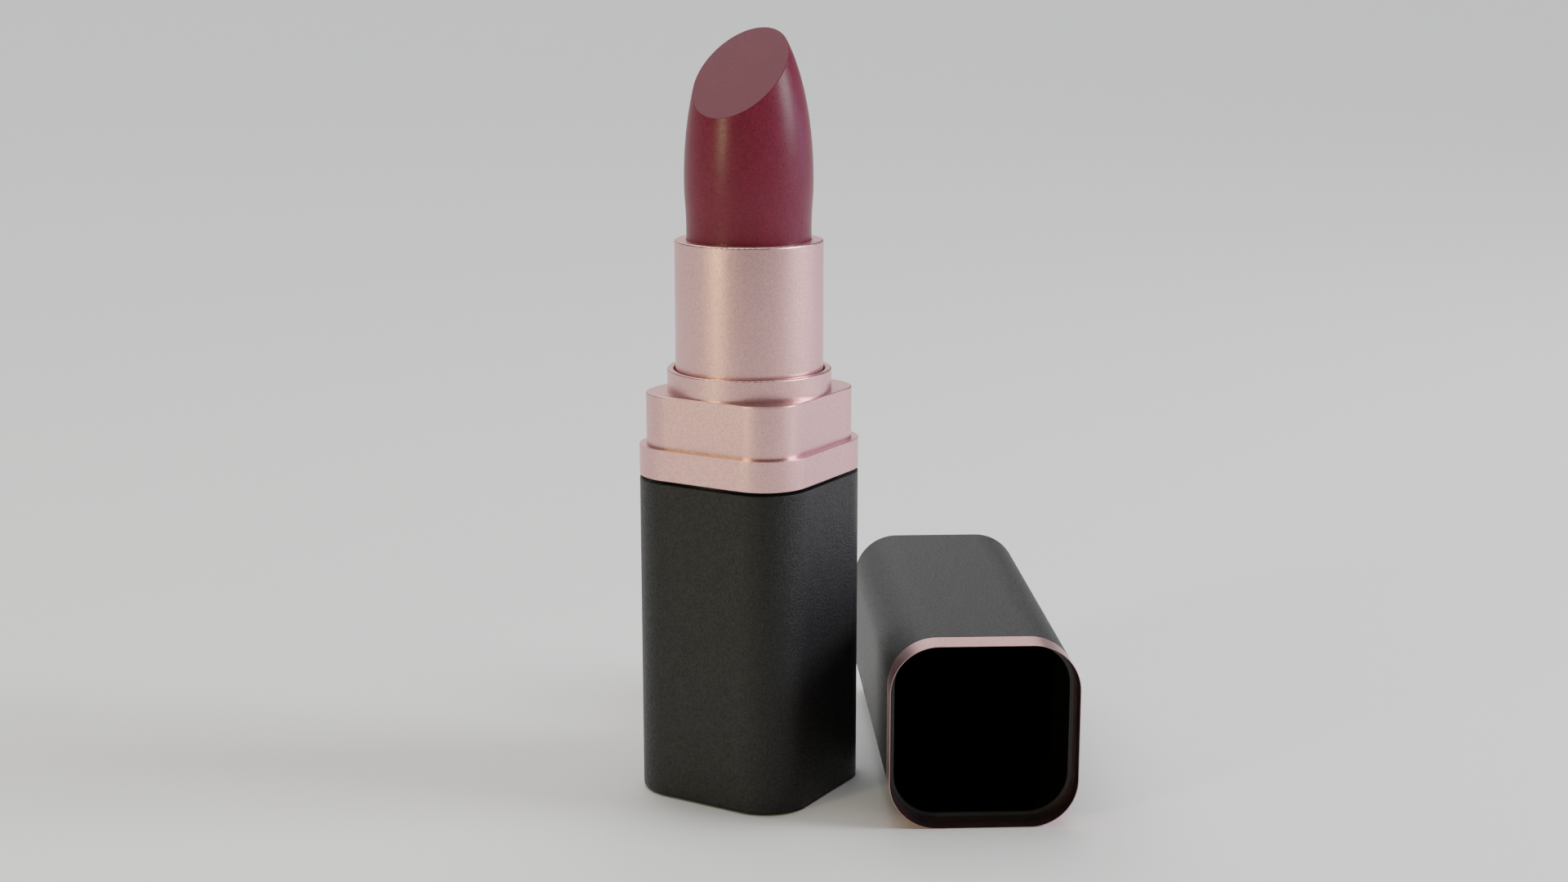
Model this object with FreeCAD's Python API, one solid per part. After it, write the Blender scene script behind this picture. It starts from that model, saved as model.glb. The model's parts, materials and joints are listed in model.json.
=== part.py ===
import FreeCAD, Part
import math
import os

# Square swivel lipstick case, millimetres. The axis is +Z and the origin is the centre of the base's
# underside. The neck turns on the base: two lugs on the cup run in straight slots that are fixed to the
# base and in helical slots that turn with the neck, so turning the neck raises or lowers the cup.
# The case is shown open: cup fully up, cap lying on one flat side with its mouth towards the front.

# Square body
HALF_SIDE = 9.0                 # half the width of base, collar and cap
CORNER = 4.6                    # outside corner radius
SHELL_WALL = 0.6                # wall of the base shell
FLOOR = 0.7                     # floor of the base shell
SEAM_LOW = 31.58                # top edge of the base
SEAM_GAP = 0.32                 # dark line between base and neck
FOOT_ROUND = 0.5                # rounding of the base's bottom edge
SEAM_ROUND = 0.12               # rounding of the base's top edge
EDGE_ROUND = 0.06               # rounding of the bands' edges
FIT = 0.01                      # gap between pieces that are glued or pressed together
SKIN = 0.24                     # wall of the drawn metal bands and of the cap

# Neck
COLLAR_TOP = 34.87
STEP_TOP = 39.93
STEP_INSET = 0.69               # ledge that the cap's mouth rests on
STEP_ROUND = 0.12
RING_TOP = 42.03
RING_OUTER = 7.95
RING_INNER = 7.32
RING_SEAT = 38.95               # underside of the ring
RING_ROUND = 0.15

# Cup and bullet, fully up
CUP_RADIUS = 7.15
CUP_WALL = 0.4
CUP_TOP = 54.43
CUP_LENGTH = 19.33
CUP_LIP_RADIUS = 6.05           # opening of the turned-in rim
CUP_LIP = 0.5                   # thickness of that rim
CUP_ROUND = 0.18
CARRIER_WALL = 0.62
CARRIER_FLOOR = 1.0
CARRIER_SHOULDER = 1.2          # the carrier stops this far below the rim
BULLET_SEAT = 44.4              # floor that the bullet stands on
BULLET_RADIUS = 6.0             # where it leaves the cup
BULLET_BELLY = 6.18             # widest radius
BULLET_STRAIGHT = 1.0           # height above the cup's rim at which it starts to swell
BELLY_Z = 60.16
DOME_HEIGHT = 16.12             # half axis of the dome's ellipse
CUT_TILT = 43.4                 # angle of the slanted face from level, degrees
CUT_Z = 71.57                   # height of the slanted face on the axis
CUT_ROUND = 0.08                # softened rim of the slanted face
CUT_BLOCK = 36.0                # side of the block that trims the top away

# Drive
STROKE = 31.0
TURNS = 2
LUGS = 2
LUG_Z = 36.6                    # centre of the lugs with the cup up
LUG_RADIUS = 0.95
LUG_REACH = 7.9                 # radius of the lugs' ends
SLOT_PLAY = 0.05                # clearance on each side of a lug
GUIDE_INNER = 7.22
GUIDE_OUTER = 7.55
GUIDE_TOP = 38.75
CAM_INNER = 7.62
CAM_OUTER = 8.0
CAM_BOTTOM = 3.2
CAM_TOP = 38.8
SLOT_OVERCUT = 0.2
FLANGE_TOP = 4.2                # flange at the cam's foot, trapped under the retainer
FLANGE_RADIUS = 8.22
RETAINER_BOTTOM = 4.3
RETAINER_TOP = 6.3
BUSH_BOTTOM = 27.5
BUSH_TOP = 31.5
BUSH_BORE = 8.07
NECK_BORE = 8.02
WASHER_TOP = 31.88

# Inside the base
WEIGHT_TOP = 2.2
PLATE_TOP = 2.9
BOSS_TOP = 3.9
LABEL_RADIUS = 6.5
LABEL_RECESS = 0.1

# Cap, lying on its side
CAP_LENGTH = 41.95
CAP_BAND = 2.96
CAP_SEAM = 0.1
CAP_MOUTH_EDGE = 0.05           # the band's wall at the very mouth
CAP_MOUTH_TAPER = 0.9           # depth over which it thickens to the full wall
CAP_END = 0.4                   # thickness of the closed end
CAP_END_ROUND = 0.25
LINER_START = 2.4               # the liner stops this far inside the mouth
LINER_INNER = 8.36              # half width inside the liner
LINER_END = 0.6
CAP_WEIGHT = 1.4
CAP_MOUTH_X = 26.04             # centre of the mouth's lower edge
CAP_MOUTH_Y = -0.09
CAP_YAW = 33.79                 # degrees that the cap points away from +Y, towards -X

TOUCHING = 1e-6
BEYOND = 1.0                    # how far a cutting solid runs past the face it cuts
CENTRE = FreeCAD.Vector(0, 0, 0)
UP = FreeCAD.Vector(0, 0, 1)
INNER_HALF = HALF_SIDE - SHELL_WALL
SKIN_HALF = HALF_SIDE - SKIN
STEP_HALF = HALF_SIDE - STEP_INSET
SEAM_HIGH = SEAM_LOW + SEAM_GAP
CUP_BOTTOM = CUP_TOP - CUP_LENGTH
SLOT_HALF = LUG_RADIUS + SLOT_PLAY
PITCH = STROKE / TURNS


def square_wire(half, z):
    """Square outline of a given half width at height z. All squares keep the same corner centres."""
    corner = CORNER - (HALF_SIDE - half)
    flat = half - corner
    edges = []
    for quarter in range(4):
        turn = FreeCAD.Rotation(UP, 90 * quarter)
        side_start = turn.multVec(FreeCAD.Vector(half, -flat, z))
        side_end = turn.multVec(FreeCAD.Vector(half, flat, z))
        reach = flat + corner * math.sqrt(0.5)
        arc_middle = turn.multVec(FreeCAD.Vector(reach, reach, z))
        arc_end = turn.multVec(FreeCAD.Vector(flat, half, z))
        edges.append(Part.LineSegment(side_start, side_end).toShape())
        edges.append(Part.Arc(side_end, arc_middle, arc_end).toShape())
    return Part.Wire(edges)


def square_block(half, low, high):
    """Solid square prism with round corners, from height low to height high."""
    return Part.Face(square_wire(half, low)).extrude(UP * (high - low))


def round_block(radius, low, high):
    """Solid cylinder on the axis, from height low to height high."""
    return Part.makeCylinder(radius, high - low, FreeCAD.Vector(0, 0, low))


def level_edges(shape, z):
    """Edges that lie wholly at height z."""
    return [edge for edge in shape.Edges
            if max(abs(edge.BoundBox.ZMin - z), abs(edge.BoundBox.ZMax - z)) < TOUCHING]


def revolved(edges):
    """Solid of revolution about the axis, from a closed outline in the XZ plane."""
    return Part.Face(Part.Wire(edges)).revolve(CENTRE, UP, 360)


def outline(points):
    """Straight edges through (radius, height) points in the XZ plane."""
    corners = [FreeCAD.Vector(r, 0, z) for r, z in points]
    return [Part.LineSegment(a, b).toShape() for a, b in zip(corners, corners[1:])]


def lug_pin(radius, reach, z):
    """Cross pin along X through the axis at height z."""
    return Part.makeCylinder(radius, 2 * reach, FreeCAD.Vector(-reach, 0, z), FreeCAD.Vector(1, 0, 0))


# Base

def base_shell():
    body = square_block(HALF_SIDE, 0, SEAM_LOW)
    body = body.makeFillet(FOOT_ROUND, level_edges(body, 0))
    body = body.makeFillet(SEAM_ROUND, level_edges(body, SEAM_LOW))
    body = body.cut(square_block(INNER_HALF, FLOOR, SEAM_LOW + BEYOND))
    return body.cut(round_block(LABEL_RADIUS + SLOT_PLAY, 0, LABEL_RECESS))


def bottom_label():
    return round_block(LABEL_RADIUS, FIT, LABEL_RECESS)


def base_weight():
    return square_block(INNER_HALF - SLOT_PLAY, FLOOR, WEIGHT_TOP)


def base_insert():
    plate = square_block(INNER_HALF - FIT, WEIGHT_TOP, PLATE_TOP)
    return plate.fuse(round_block(GUIDE_INNER - FIT, WEIGHT_TOP, BOSS_TOP)).removeSplitter()


def base_bush():
    return square_block(INNER_HALF - FIT, BUSH_BOTTOM, BUSH_TOP).cut(
        round_block(BUSH_BORE, BUSH_BOTTOM - BEYOND, BUSH_TOP + BEYOND))


def cam_retainer():
    """Glued ring that keeps the cam, and so the neck, from being pulled out of the base."""
    return square_block(INNER_HALF - FIT, RETAINER_BOTTOM, RETAINER_TOP).cut(
        round_block(BUSH_BORE, RETAINER_BOTTOM - BEYOND, RETAINER_TOP + BEYOND))


def drag_washer():
    low = BUSH_TOP + FIT
    return round_block(INNER_HALF - SLOT_PLAY, low, WASHER_TOP).cut(
        round_block(BUSH_BORE, low - BEYOND, WASHER_TOP + BEYOND))


def inner_body():
    """Guide tube with two straight slots, one on each side along X, closed at both ends."""
    tube = round_block(GUIDE_OUTER, PLATE_TOP + FIT, GUIDE_TOP)
    tube = tube.cut(round_block(GUIDE_INNER, 0, GUIDE_TOP + BEYOND))
    low = LUG_Z - STROKE
    middle = Part.makeBox(
        2 * CAM_OUTER, 2 * SLOT_HALF, STROKE, FreeCAD.Vector(-CAM_OUTER, -SLOT_HALF, low))
    slot = middle.fuse([lug_pin(SLOT_HALF, CAM_OUTER, low), lug_pin(SLOT_HALF, CAM_OUTER, LUG_Z)])
    return tube.cut(slot.removeSplitter())


# Neck

def neck_block():
    """Square step with a flange under the collar band, bored for the cam and for the ring."""
    step = square_block(STEP_HALF, SEAM_HIGH, STEP_TOP)
    step = step.makeFillet(STEP_ROUND, level_edges(step, STEP_TOP))
    flange = square_block(SKIN_HALF - FIT, SEAM_HIGH, COLLAR_TOP - SKIN - FIT)
    block = step.fuse(flange).removeSplitter()
    block = block.cut(round_block(NECK_BORE, SEAM_HIGH - BEYOND, RING_SEAT))
    return block.cut(round_block(RING_OUTER + FIT, RING_SEAT - BEYOND, STEP_TOP + BEYOND))


def collar_band():
    """Drawn band round the flange, its top turned in to the step."""
    band = square_block(HALF_SIDE, SEAM_HIGH, COLLAR_TOP)
    band = band.makeFillet(EDGE_ROUND, level_edges(band, COLLAR_TOP) + level_edges(band, SEAM_HIGH))
    band = band.cut(square_block(SKIN_HALF, SEAM_HIGH - BEYOND, COLLAR_TOP - SKIN))
    return band.cut(square_block(STEP_HALF + FIT, SEAM_HIGH - BEYOND, COLLAR_TOP + BEYOND))


def neck_ring():
    """Plain ring with its top edges rounded."""
    ring = round_block(RING_OUTER, RING_SEAT + FIT, RING_TOP).cut(
        round_block(RING_INNER, RING_SEAT - BEYOND, RING_TOP + BEYOND))
    return ring.makeFillet(RING_ROUND, level_edges(ring, RING_TOP))


def helical_slot():
    """Helical passage that a lug follows, right-handed, with a round end at each limit."""
    half_tall = SLOT_HALF * math.hypot(1, PITCH / (2 * math.pi * CAM_OUTER))
    inside = CAM_INNER - SLOT_OVERCUT
    outside = CAM_OUTER + SLOT_OVERCUT
    section = Part.Wire(outline([(inside, -half_tall), (outside, -half_tall), (outside, half_tall),
                                 (inside, half_tall), (inside, -half_tall)]))
    slot = Part.makeHelix(PITCH, STROKE, CAM_OUTER).makePipeShell([section], True, True)
    for height in (0, STROKE):
        along_x = FreeCAD.Vector(1, 0, 0)
        start = FreeCAD.Vector(inside, 0, height)
        slot = slot.fuse(Part.makeCylinder(SLOT_HALF, outside - inside, start, along_x))
    return slot.translated(UP * (LUG_Z - STROKE))


def spiral_cam():
    """Cam tube with two helical slots half a turn apart, and a flange at its foot."""
    tube = round_block(CAM_OUTER, CAM_BOTTOM, CAM_TOP)
    tube = tube.cut(round_block(CAM_INNER, CAM_BOTTOM - BEYOND, CAM_TOP + BEYOND))
    for _ in range(LUGS):
        tube = tube.cut(helical_slot())
        tube.rotate(CENTRE, UP, 360 / LUGS)
    flange = round_block(FLANGE_RADIUS, CAM_BOTTOM, FLANGE_TOP)
    return tube.fuse(flange.cut(round_block(CAM_OUTER, CAM_BOTTOM - BEYOND, CAM_TOP))).removeSplitter()


# Cup

def cup_sleeve():
    """Metal sleeve, its rim rounded and turned in to the bullet, with two holes for the lugs."""
    bore = CUP_RADIUS - CUP_WALL
    sleeve = round_block(CUP_RADIUS, CUP_BOTTOM, CUP_TOP)
    sleeve = sleeve.makeFillet(CUP_ROUND, level_edges(sleeve, CUP_TOP))
    sleeve = sleeve.cut(round_block(bore, CUP_BOTTOM - BEYOND, CUP_TOP - CUP_LIP))
    sleeve = sleeve.cut(round_block(CUP_LIP_RADIUS, CUP_BOTTOM, CUP_TOP + BEYOND))
    return sleeve.cut(lug_pin(LUG_RADIUS + SLOT_PLAY, CAM_OUTER, LUG_Z))


def cup_carrier():
    """Moulded cup that holds the bullet, with two lugs that reach through both slotted tubes."""
    outer = CUP_RADIUS - CUP_WALL - FIT
    carrier = round_block(outer, CUP_BOTTOM, CUP_TOP - CARRIER_SHOULDER)
    carrier = carrier.fuse(lug_pin(LUG_RADIUS, LUG_REACH, LUG_Z))
    bore = outer - CARRIER_WALL
    carrier = carrier.cut(round_block(bore, CUP_BOTTOM - BEYOND, BULLET_SEAT - CARRIER_FLOOR))
    return carrier.cut(round_block(bore, BULLET_SEAT, CUP_TOP))


def lipstick_bullet():
    """Turned bullet with a slight belly and an elliptical dome, cut off by the slanted face."""
    shoulder = CUP_TOP + BULLET_STRAIGHT
    dome_top = BELLY_Z + DOME_HEIGHT
    straight = outline([(0, dome_top), (0, BULLET_SEAT), (BULLET_RADIUS, BULLET_SEAT),
                        (BULLET_RADIUS, shoulder)])
    swell = Part.BezierCurve()
    swell.setPoles([FreeCAD.Vector(BULLET_RADIUS, 0, shoulder),
                    FreeCAD.Vector(BULLET_RADIUS, 0, (shoulder + BELLY_Z) / 2),
                    FreeCAD.Vector(BULLET_BELLY, 0, (shoulder + BELLY_Z) / 2),
                    FreeCAD.Vector(BULLET_BELLY, 0, BELLY_Z)])
    ellipse = Part.Ellipse(FreeCAD.Vector(0, 0, dome_top), FreeCAD.Vector(BULLET_BELLY, 0, BELLY_Z),
                           FreeCAD.Vector(0, 0, BELLY_Z))
    dome = Part.Edge(ellipse, 0, math.pi / 2)
    bullet = revolved(straight + [swell.toShape(), dome])
    slab = Part.makeBox(CUT_BLOCK, CUT_BLOCK, CUT_BLOCK, FreeCAD.Vector(-CUT_BLOCK / 2, -CUT_BLOCK / 2, 0))
    slab.rotate(CENTRE, FreeCAD.Vector(1, 0, 0), CUT_TILT)
    slab.translate(UP * CUT_Z)
    bullet = bullet.cut(slab)
    rim = [edge for edge in bullet.Edges
           if min(edge.BoundBox.ZLength, edge.BoundBox.XLength) > BULLET_RADIUS]
    return bullet.makeFillet(CUT_ROUND, rim)


# Cap, modelled standing on its mouth and then laid down

def cap_band():
    """Drawn band round the mouth, tapered inside to a thin edge that guides the step in."""
    band = square_block(HALF_SIDE, 0, CAP_BAND)
    band = band.makeFillet(EDGE_ROUND / 2, level_edges(band, CAP_BAND))
    mouth = square_wire(HALF_SIDE - CAP_MOUTH_EDGE, 0)
    throat = square_wire(SKIN_HALF, CAP_MOUTH_TAPER)
    band = band.cut(Part.makeLoft([mouth, throat], True, True))
    return band.cut(square_block(SKIN_HALF, -BEYOND, CAP_BAND + BEYOND))


def cap_shell():
    shell = square_block(HALF_SIDE, CAP_BAND + CAP_SEAM, CAP_LENGTH)
    shell = shell.makeFillet(CAP_END_ROUND, level_edges(shell, CAP_LENGTH))
    return shell.cut(square_block(SKIN_HALF, 0, CAP_LENGTH - CAP_END))


def cap_weight():
    top = CAP_LENGTH - CAP_END - FIT
    return square_block(SKIN_HALF - FIT, top - CAP_WEIGHT, top)


def cap_liner():
    """Plastic liner that slides over the step and holds the cap on by friction."""
    top = CAP_LENGTH - CAP_END - CAP_WEIGHT - 2 * FIT
    liner = square_block(SKIN_HALF - FIT, LINER_START, top)
    return liner.cut(square_block(LINER_INNER, 0, top - LINER_END))


def laid_down(shape):
    """Turn a cap piece onto one flat side, its mouth's lower edge centred on the floor point."""
    shape.rotate(CENTRE, FreeCAD.Vector(1, 0, 0), -90)
    shape.rotate(CENTRE, UP, CAP_YAW)
    shape.translate(FreeCAD.Vector(CAP_MOUTH_X, CAP_MOUTH_Y, HALF_SIDE))
    return shape


STANDING = [base_shell, bottom_label, base_weight, base_insert, cam_retainer, base_bush,
            drag_washer, inner_body, neck_block, collar_band, neck_ring, spiral_cam, cup_sleeve,
            cup_carrier, lipstick_bullet]
LYING = [cap_band, cap_shell, cap_weight, cap_liner]

os.makedirs("parts", exist_ok=True)
for make in STANDING:
    make().exportStep("parts/" + make.__name__ + ".step")
for make in LYING:
    laid_down(make()).exportStep("parts/" + make.__name__ + ".step")
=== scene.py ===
import json
import math

import bpy
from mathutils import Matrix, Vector


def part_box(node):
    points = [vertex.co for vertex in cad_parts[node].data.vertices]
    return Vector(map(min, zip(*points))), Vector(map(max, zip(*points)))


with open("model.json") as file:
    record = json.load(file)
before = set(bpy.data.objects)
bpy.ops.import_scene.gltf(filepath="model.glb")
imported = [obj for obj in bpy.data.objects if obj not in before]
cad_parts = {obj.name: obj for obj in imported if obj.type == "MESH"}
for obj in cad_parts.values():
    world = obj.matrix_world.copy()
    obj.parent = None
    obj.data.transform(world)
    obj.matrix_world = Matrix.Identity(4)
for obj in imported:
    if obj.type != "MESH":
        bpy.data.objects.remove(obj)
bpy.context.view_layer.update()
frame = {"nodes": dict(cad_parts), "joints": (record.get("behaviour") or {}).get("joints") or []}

# Metres throughout. The case's axis is +Z and its base stands on the floor, z = 0.

# Camera, solved from the case's own edges
CAMERA_PLACE = Vector((0.11030, -0.17635, 0.07856))
CAMERA_TURN = math.radians(31.10)       # heading, from +Y towards -X
CAMERA_DIP = math.radians(11.92)        # how far it looks down
CAMERA_NEAREST = 0.01                   # nothing closer to the camera is drawn
LENS = 50                               # millimetres
SENSOR_WIDTH = 36                       # millimetres

# Lights
LIGHTS_AIM = Vector((0.01, 0.01, 0.045))    # the panels face this point, between case and cap
AMBIENT = 0.02

# Backdrop: a round floor that curves up into a wall
FLOOR_RADIUS = 12.0
WALL_HEIGHT = 3.2                       # also the radius that the floor curves up with
FLOOR_RINGS = 16                        # on the flat part, and again on the curve
FLOOR_SEGMENTS = 96
PAPER_PALE = (0.812, 0.812, 0.812)
PAPER_PAINTED_SHADE = (0.25, 0.25, 0.25)
PAPER_PALE_FROM = -0.20                 # metres ahead of the case; pale beyond this
PAPER_PAINTED_SHADE_FROM = -0.50                 # painted shade, grey, before this
PAPER_TOOTH = 2400

# Textures: scales are in noise cells per metre
GRAIN_SCALE = 4600                      # satin grain, about 0.2 mm across
MOULD_SCALE = 3800
MOULD_VARIATION = 0.06                  # how far the roughness of mouldings varies each way
CLOUD_SCALE = 120
MOTTLE_SCALE = 700
# mottle of the painted shade on the cap band's inward faces
SHADE_MOTTLE_SCALE = 900
STREAK_SCALE = 900
STREAK_STRETCH = (1, 14, 1)             # narrow along Y, so the streaks run along X
NOISE_LOW = 0.3                         # most of a noise lies between these two
NOISE_HIGH = 0.7
SPECKLE_LOW = 0.32                      # the speckle's change of tone is a little sharper
SPECKLE_HIGH = 0.68
WHITE = (1.0, 1.0, 1.0)

# Cap: its mouth and direction come from the joint on the mouth's lower edge
LIP_DEPTH = 0.00245                     # depth of the liner's lip behind the mouth
INNER_SHADE_BLEND = 0.0003                    # depth over which the painted shade begins
# near-black colour of the painted shade deeper than the liner's lip
INNER_SHADE_BLACK = (0.0012, 0.0012, 0.0012)
INWARD_BLEND = 0.001                    # softens the change from outward faces to the painted shade on inward faces
cap_hinge = next(joint for joint in frame["joints"] if joint["name"] == "cap_stand")
band_low, band_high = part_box("cap_band")
CAP_AXIS_HEIGHT = (band_low[2] + band_high[2]) / 2
CAP_MOUTH = Vector(cap_hinge["pos_m"]) + Vector((0, 0, CAP_AXIS_HEIGHT))
CAP_DEPTHWARD = Vector((0, 0, 1)).cross(Vector(cap_hinge["axis"]))

# Places of the colour sockets on a Mix node
MIX_FIRST = 6
MIX_SECOND = 7
MIX_RESULT = 2


# ---------------------------------------------------------------- shader helpers

def new_material(name, base, roughness, metallic=0.0, specular=0.5):
    """Principled material with plain values on its sockets. A texture linked later takes over."""
    material = bpy.data.materials.new(name)
    material.use_nodes = True
    shader_input(material, "Base Color").default_value = (*base, 1.0)
    shader_input(material, "Roughness").default_value = roughness
    shader_input(material, "Metallic").default_value = metallic
    shader_input(material, "Specular IOR Level").default_value = specular
    return material


def shader_input(material, socket):
    return material.node_tree.nodes["Principled BSDF"].inputs[socket]


def add_node(material, kind, **settings):
    """New node, each setting going to the input of that name or else to the node itself."""
    node = material.node_tree.nodes.new(kind)
    for key, value in settings.items():
        if key in node.inputs:
            node.inputs[key].default_value = value
        else:
            setattr(node, key, value)
    return node


def link(material, start, end):
    material.node_tree.links.new(start, end)


def object_point(material, stretch=(1, 1, 1)):
    """The surface point in the object's own coordinates, scaled along each axis."""
    coordinates = add_node(material, "ShaderNodeTexCoord")
    mapping = add_node(material, "ShaderNodeMapping", Scale=stretch)
    link(material, coordinates.outputs["Object"], mapping.inputs["Vector"])
    return mapping.outputs["Vector"]


def noise(material, point, scale, detail=3.0, roughness=0.5):
    node = add_node(material, "ShaderNodeTexNoise", Scale=scale, Detail=detail, Roughness=roughness)
    link(material, point, node.inputs["Vector"])
    return node.outputs["Fac"]


def satin_grain(material, point):
    """The one grain that black lacquer, metal and wax share."""
    return noise(material, point, GRAIN_SCALE, roughness=0.7)


def ramp(material, value, first, second, low=NOISE_LOW, high=NOISE_HIGH):
    """Colour that runs from first to second as the value rises from low to high."""
    node = add_node(material, "ShaderNodeValToRGB")
    for element, position, colour in zip(node.color_ramp.elements, (low, high), (first, second)):
        element.position = position
        element.color = (*colour, 1.0)
    link(material, value, node.inputs["Fac"])
    return node.outputs["Color"]


def remap(material, value, first, second, low=NOISE_LOW, high=NOISE_HIGH):
    """Number that runs from first to second as the value rises from low to high."""
    node = add_node(material, "ShaderNodeMapRange")
    node.inputs["From Min"].default_value = low
    node.inputs["From Max"].default_value = high
    node.inputs["To Min"].default_value = first
    node.inputs["To Max"].default_value = second
    link(material, value, node.inputs["Value"])
    return node.outputs["Result"]


def set_colour(material, socket, value):
    """Give a colour socket a plain colour, or link it to another node's output."""
    if isinstance(value, tuple):
        socket.default_value = (*value, 1.0)
    else:
        link(material, value, socket)


def mix_colour(material, factor, first, second):
    """First colour where the factor is 0, second where it is 1."""
    node = add_node(material, "ShaderNodeMix", data_type="RGBA")
    link(material, factor, node.inputs["Factor"])
    set_colour(material, node.inputs[MIX_FIRST], first)
    set_colour(material, node.inputs[MIX_SECOND], second)
    return node.outputs[MIX_RESULT]


def multiply_colour(material, first, second):
    """First colour darkened by the second."""
    node = add_node(material, "ShaderNodeMix", data_type="RGBA", blend_type="MULTIPLY", Factor=1.0)
    set_colour(material, node.inputs[MIX_FIRST], first)
    set_colour(material, node.inputs[MIX_SECOND], second)
    return node.outputs[MIX_RESULT]


def bump(material, height, distance, strength):
    """Shade as if the surface rose with the height value, by up to the distance in metres."""
    node = add_node(material, "ShaderNodeBump", Strength=strength, Distance=distance)
    link(material, height, node.inputs["Height"])
    link(material, node.outputs["Normal"], shader_input(material, "Normal"))


def from_mouth(material, coordinates):
    """The surface point as seen from the centre of the cap's mouth."""
    offset = add_node(material, "ShaderNodeVectorMath", operation="SUBTRACT")
    link(material, coordinates.outputs["Object"], offset.inputs[0])
    offset.inputs[1].default_value = CAP_MOUTH
    return offset.outputs["Vector"]


# ---------------------------------------------------------------- materials

def satin_black():
    """Soft-touch lacquer: fine grain that breaks up the sheen."""
    material = new_material("satin_black", (0.006, 0.006, 0.006), 0.42, specular=0.30)
    grain = satin_grain(material, object_point(material))
    colour = ramp(material, grain, (0.0035, 0.0035, 0.0034), (0.0080, 0.0080, 0.0078))
    link(material, colour, shader_input(material, "Base Color"))
    link(material, remap(material, grain, 0.22, 0.36), shader_input(material, "Specular IOR Level"))
    link(material, remap(material, grain, 0.50, 0.34), shader_input(material, "Roughness"))
    bump(material, grain, distance=0.000100, strength=1.0)
    return material


def rose_gold():
    """Satin anodised metal: fine blasted grain and slight colour drift."""
    material = new_material("rose_gold", (0.76, 0.46, 0.45), 0.36, metallic=1.0)
    point = object_point(material)
    grain = satin_grain(material, point)
    cloud = noise(material, point, CLOUD_SCALE)
    drift = ramp(material, cloud, (0.84, 0.495, 0.485), (0.88, 0.525, 0.515))
    speckle = ramp(material, grain, (0.76, 0.745, 0.74), WHITE, SPECKLE_LOW, SPECKLE_HIGH)
    link(material, multiply_colour(material, drift, speckle), shader_input(material, "Base Color"))
    link(material, remap(material, grain, 0.28, 0.38), shader_input(material, "Roughness"))
    bump(material, grain, distance=0.000014, strength=0.6)
    return material


def gold_with_painted_inner_shade():
    """The cap band's metal: rose gold outside, with painted shade, a mottled dark reddish colour, on the
    faces that look inwards.
    """
    material = rose_gold()
    material.name = "gold_with_painted_inner_shade"
    coordinates = add_node(material, "ShaderNodeTexCoord")
    facing = add_node(material, "ShaderNodeVectorMath", operation="DOT_PRODUCT")
    link(material, from_mouth(material, coordinates), facing.inputs[0])
    link(material, coordinates.outputs["Normal"], facing.inputs[1])
    outward = remap(material, facing.outputs["Value"], 0.0, 1.0, low=-INWARD_BLEND, high=INWARD_BLEND)
    # Painted shade: the faces that look into the cap get a mottled dark reddish colour in place of the
    # shade they lie in.
    shade_mottle = noise(material, coordinates.outputs["Object"], SHADE_MOTTLE_SCALE)
    dark = ramp(material, shade_mottle, (0.26, 0.135, 0.135), (0.34, 0.185, 0.185))
    base = shader_input(material, "Base Color")
    metal = base.links[0].from_socket
    link(material, mix_colour(material, outward, dark, metal), base)
    return material


def bullet_wax():
    """Waxy mauve: soft sheen and faint mottling."""
    material = new_material("bullet_wax", (0.13, 0.014, 0.028), 0.33, specular=0.18)
    point = object_point(material)
    mottle = noise(material, point, MOTTLE_SCALE, detail=4.0, roughness=0.6)
    tone = ramp(material, mottle, (0.171, 0.0226, 0.0415), (0.199, 0.0268, 0.0492), low=0.25, high=0.75)
    grain = satin_grain(material, point)
    speckle = ramp(material, grain, (0.66, 0.64, 0.64), WHITE, SPECKLE_LOW, SPECKLE_HIGH)
    link(material, multiply_colour(material, tone, speckle), shader_input(material, "Base Color"))
    link(material, remap(material, grain, 0.27, 0.40), shader_input(material, "Roughness"))
    bump(material, grain, distance=0.000020, strength=0.5)
    return material


def moulded(name, dark, light, roughness):
    """Moulded plastic with a fine spark-eroded texture."""
    material = new_material(name, light, roughness)
    texture = noise(material, object_point(material), MOULD_SCALE, roughness=0.6)
    link(material, ramp(material, texture, dark, light), shader_input(material, "Base Color"))
    rough = remap(material, texture, roughness - MOULD_VARIATION, roughness + MOULD_VARIATION)
    link(material, rough, shader_input(material, "Roughness"))
    bump(material, texture, distance=0.000008, strength=0.4)
    return material


def liner_with_painted_inner_shade():
    """Black moulding at the liner's lip. Further in, painted shade: a near-black colour and almost no
    shine, for the shade deep inside the cap.
    """
    material = moulded("liner_with_painted_inner_shade", (0.011, 0.011, 0.0112), (0.017, 0.017, 0.0175), 0.5)
    coordinates = add_node(material, "ShaderNodeTexCoord")
    depth = add_node(material, "ShaderNodeVectorMath", operation="DOT_PRODUCT")
    link(material, from_mouth(material, coordinates), depth.inputs[0])
    depth.inputs[1].default_value = CAP_DEPTHWARD
    # Painted shade: beyond the lip the colour turns near-black and the shine is dimmed, for the shade
    # deep inside the cap.
    inner_shade = remap(material, depth.outputs["Value"], 0.0, 1.0, low=LIP_DEPTH, high=LIP_DEPTH + INNER_SHADE_BLEND)
    base = shader_input(material, "Base Color")
    lip = base.links[0].from_socket
    link(material, mix_colour(material, inner_shade, lip, INNER_SHADE_BLACK), base)
    shine_dimmed_by_shade = remap(material, inner_shade, 0.5, 0.03, low=0.0, high=1.0)
    link(material, shine_dimmed_by_shade, shader_input(material, "Specular IOR Level"))
    return material


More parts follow.
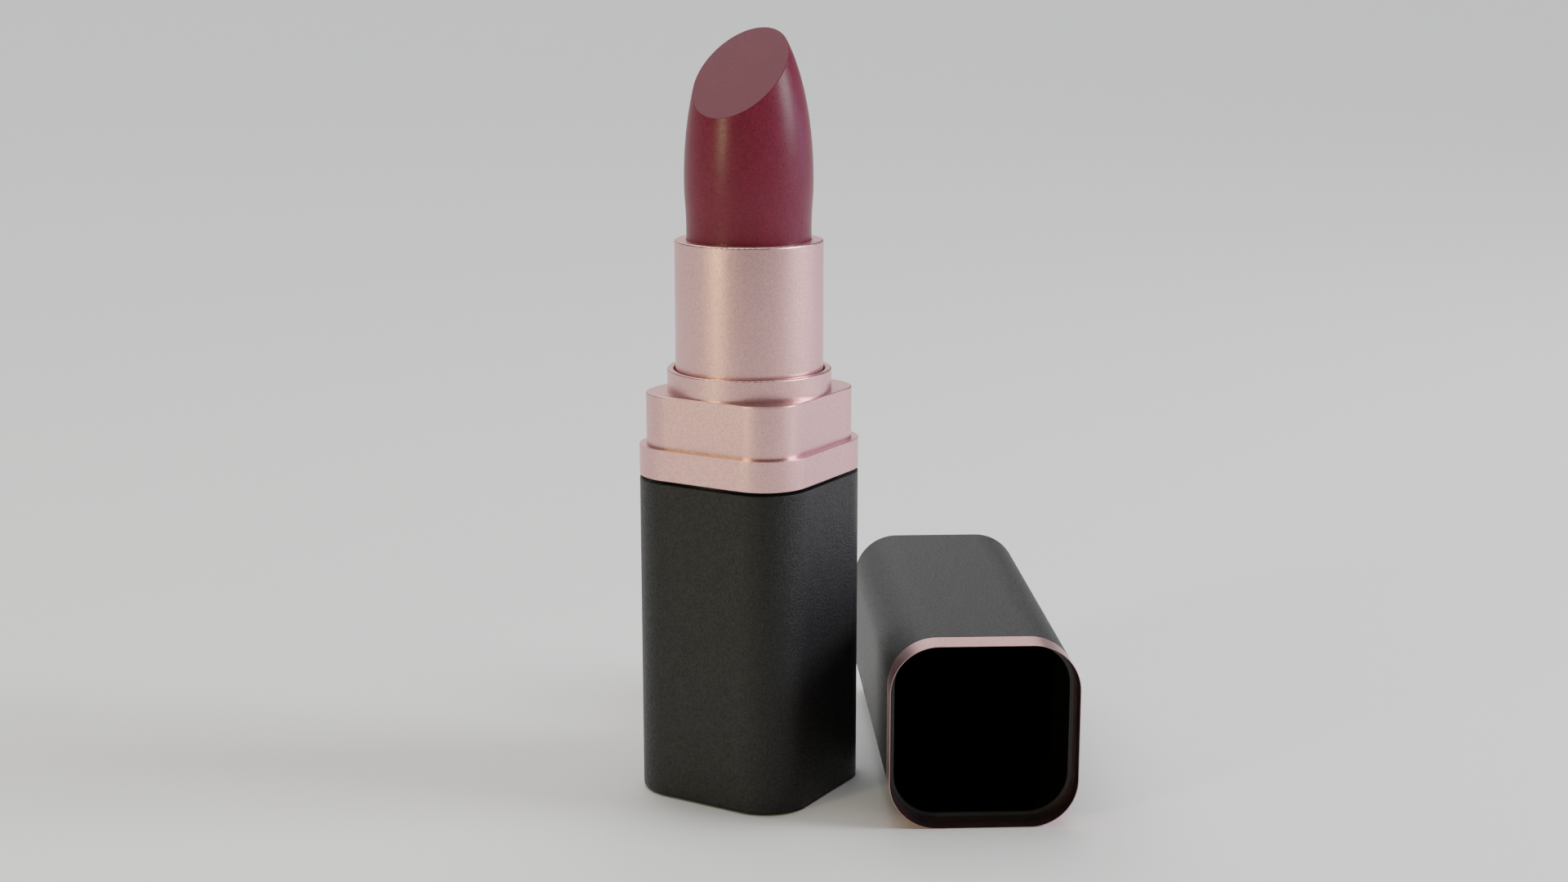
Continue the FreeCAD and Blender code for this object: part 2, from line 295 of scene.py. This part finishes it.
def plated_steel():
    """Rolled and plated plate, its streaks running one way."""
    material = new_material("plated_steel", (0.55, 0.55, 0.54), 0.35, metallic=1.0)
    point = object_point(material, STREAK_STRETCH)
    streak = noise(material, point, STREAK_SCALE, detail=4.0, roughness=0.6)
    colour = ramp(material, streak, (0.46, 0.46, 0.45), (0.62, 0.62, 0.60))
    link(material, colour, shader_input(material, "Base Color"))
    link(material, remap(material, streak, 0.28, 0.45), shader_input(material, "Roughness"))
    bump(material, streak, distance=0.000006, strength=0.5)
    return material


def paint(nodes, material):
    """Give the named CAD nodes one material each over their whole surface."""
    for name in nodes:
        mesh = frame["nodes"][name].data
        mesh.materials.clear()
        mesh.materials.append(material)


paint(["base_shell", "cap_shell"], satin_black())
paint(["collar_band", "neck_block", "neck_ring", "cup_sleeve"], rose_gold())
paint(["cap_band"], gold_with_painted_inner_shade())
paint(["lipstick_bullet"], bullet_wax())
paint(["cap_liner"], liner_with_painted_inner_shade())
paint(["spiral_cam", "base_bush", "drag_washer"],
      moulded("black_moulding", (0.008, 0.008, 0.0082), (0.013, 0.013, 0.0134), 0.5))
paint(["inner_body", "cup_carrier", "base_insert", "cam_retainer"],
      moulded("natural_moulding", (0.62, 0.61, 0.57), (0.72, 0.71, 0.67), 0.45))
paint(["base_weight", "cap_weight"], plated_steel())
paint(["bottom_label"], moulded("label_film", (0.40, 0.40, 0.41), (0.50, 0.50, 0.51), 0.35))


# ---------------------------------------------------------------- floor

def backdrop_paper():
    """Matt pale paper with painted shade: it falls off to grey well in front of the case, outside the
    picture, in place of light falling off there.
    """
    material = new_material("backdrop_paper", PAPER_PALE, 0.85, specular=0.2)
    coordinates = add_node(material, "ShaderNodeTexCoord")
    turned = add_node(material, "ShaderNodeMapping", Rotation=(0, 0, -CAMERA_TURN))
    link(material, coordinates.outputs["Object"], turned.inputs["Vector"])
    split = add_node(material, "ShaderNodeSeparateXYZ")
    link(material, turned.outputs["Vector"], split.inputs["Vector"])
    # Painted shade: the paper darkens towards the camera's side, standing in for light that falls off
    # there.
    ahead = remap(material, split.outputs["Y"], 0.0, 1.0, low=PAPER_PAINTED_SHADE_FROM, high=PAPER_PALE_FROM)
    shade = ramp(material, ahead, PAPER_PAINTED_SHADE, PAPER_PALE, low=0.0, high=1.0)
    tooth = noise(material, coordinates.outputs["Object"], PAPER_TOOTH, roughness=0.7)
    speckle = ramp(material, tooth, (0.975, 0.975, 0.975), WHITE)
    link(material, multiply_colour(material, shade, speckle), shader_input(material, "Base Color"))
    return material


def backdrop():
    """Pale round floor that curves up into a wall all the way round, one smooth sheet."""
    profile = [(FLOOR_RADIUS * ring / FLOOR_RINGS, 0.0) for ring in range(FLOOR_RINGS + 1)]
    for step in range(1, FLOOR_RINGS + 1):
        angle = 0.5 * math.pi * step / FLOOR_RINGS
        radius = FLOOR_RADIUS + WALL_HEIGHT * math.sin(angle)
        profile.append((radius, WALL_HEIGHT * (1 - math.cos(angle))))
    points = []
    for radius, height in profile:
        for turn in range(FLOOR_SEGMENTS):
            angle = 2 * math.pi * turn / FLOOR_SEGMENTS
            points.append((radius * math.cos(angle), radius * math.sin(angle), height))
    faces = []
    for ring in range(len(profile) - 1):
        inner = ring * FLOOR_SEGMENTS
        outer = inner + FLOOR_SEGMENTS
        for turn in range(FLOOR_SEGMENTS):
            after = (turn + 1) % FLOOR_SEGMENTS
            faces.append((inner + turn, inner + after, outer + after, outer + turn))
    mesh = bpy.data.meshes.new("backdrop")
    mesh.from_pydata(points, [], faces)
    mesh.validate()
    for face in mesh.polygons:
        face.use_smooth = True
    mesh.materials.append(backdrop_paper())
    sheet = bpy.data.objects.new("backdrop", mesh)
    bpy.context.scene.collection.objects.link(sheet)


# ---------------------------------------------------------------- lights and camera

def camera_frame(right, ahead, up):
    """A place given as metres right of, ahead of and above the case, as the camera faces."""
    x = right * math.cos(CAMERA_TURN) - ahead * math.sin(CAMERA_TURN)
    y = right * math.sin(CAMERA_TURN) + ahead * math.cos(CAMERA_TURN)
    return Vector((x, y, up))


def place_light(light, place, aim):
    lamp = bpy.data.objects.new(light.name, light)
    lamp.location = place
    lamp.rotation_euler = (aim - place).to_track_quat("-Z", "Y").to_euler()
    bpy.context.scene.collection.objects.link(lamp)


def area_light(name, place, side, power, colour):
    """Square panel turned to LIGHTS_AIM, its power in watts."""
    light = bpy.data.lights.new(name, "AREA")
    light.shape = "SQUARE"
    light.size = side
    light.energy = power
    light.color = colour
    place_light(light, place, LIGHTS_AIM)


def sky_light(name, place, strength, spread, colour=WHITE):
    """Soft distant light, its spread in degrees, shining from the given place towards the origin."""
    light = bpy.data.lights.new(name, "SUN")
    light.energy = strength
    light.angle = math.radians(spread)
    light.color = colour
    place_light(light, place, Vector((0, 0, 0)))


def lights():
    """Three soft lights for the room, three panels for the streaks, and a trace of ambient light."""
    sky_light("overhead", camera_frame(-0.15, 0.30, 1.0), strength=2.22, spread=70,
              colour=(1.0, 0.99, 0.98))
    sky_light("low_back", camera_frame(-0.20, 1.0, 0.40), strength=0.49, spread=50)
    sky_light("window_right", camera_frame(1.0, -0.1, 0.55), strength=0.78, spread=25,
              colour=(0.82, 0.92, 1.0))
    area_light("key", camera_frame(0.62, -0.05, 0.26), side=0.24, power=2.25,
               colour=(0.97, 0.98, 1.0))
    area_light("warm_left", camera_frame(-0.46, -0.40, 0.15), side=0.07, power=1.12,
               colour=(1.0, 0.86, 0.48))
    area_light("violet_rim", camera_frame(0.42, 0.16, 0.09), side=0.05, power=0.09,
               colour=(0.50, 0.30, 1.0))
    world = bpy.data.worlds.new("studio")
    world.use_nodes = True
    background = world.node_tree.nodes["Background"]
    background.inputs["Color"].default_value = (*WHITE, 1.0)
    background.inputs["Strength"].default_value = AMBIENT
    bpy.context.scene.world = world


def camera():
    data = bpy.data.cameras.new("camera")
    data.lens = LENS
    data.sensor_width = SENSOR_WIDTH
    data.clip_start = CAMERA_NEAREST
    eye = bpy.data.objects.new("camera", data)
    eye.location = CAMERA_PLACE
    eye.rotation_euler = (math.pi / 2 - CAMERA_DIP, 0, CAMERA_TURN)
    bpy.context.scene.collection.objects.link(eye)
    bpy.context.scene.camera = eye


backdrop()
lights()
camera()
bpy.context.scene.view_settings.view_transform = "Filmic"
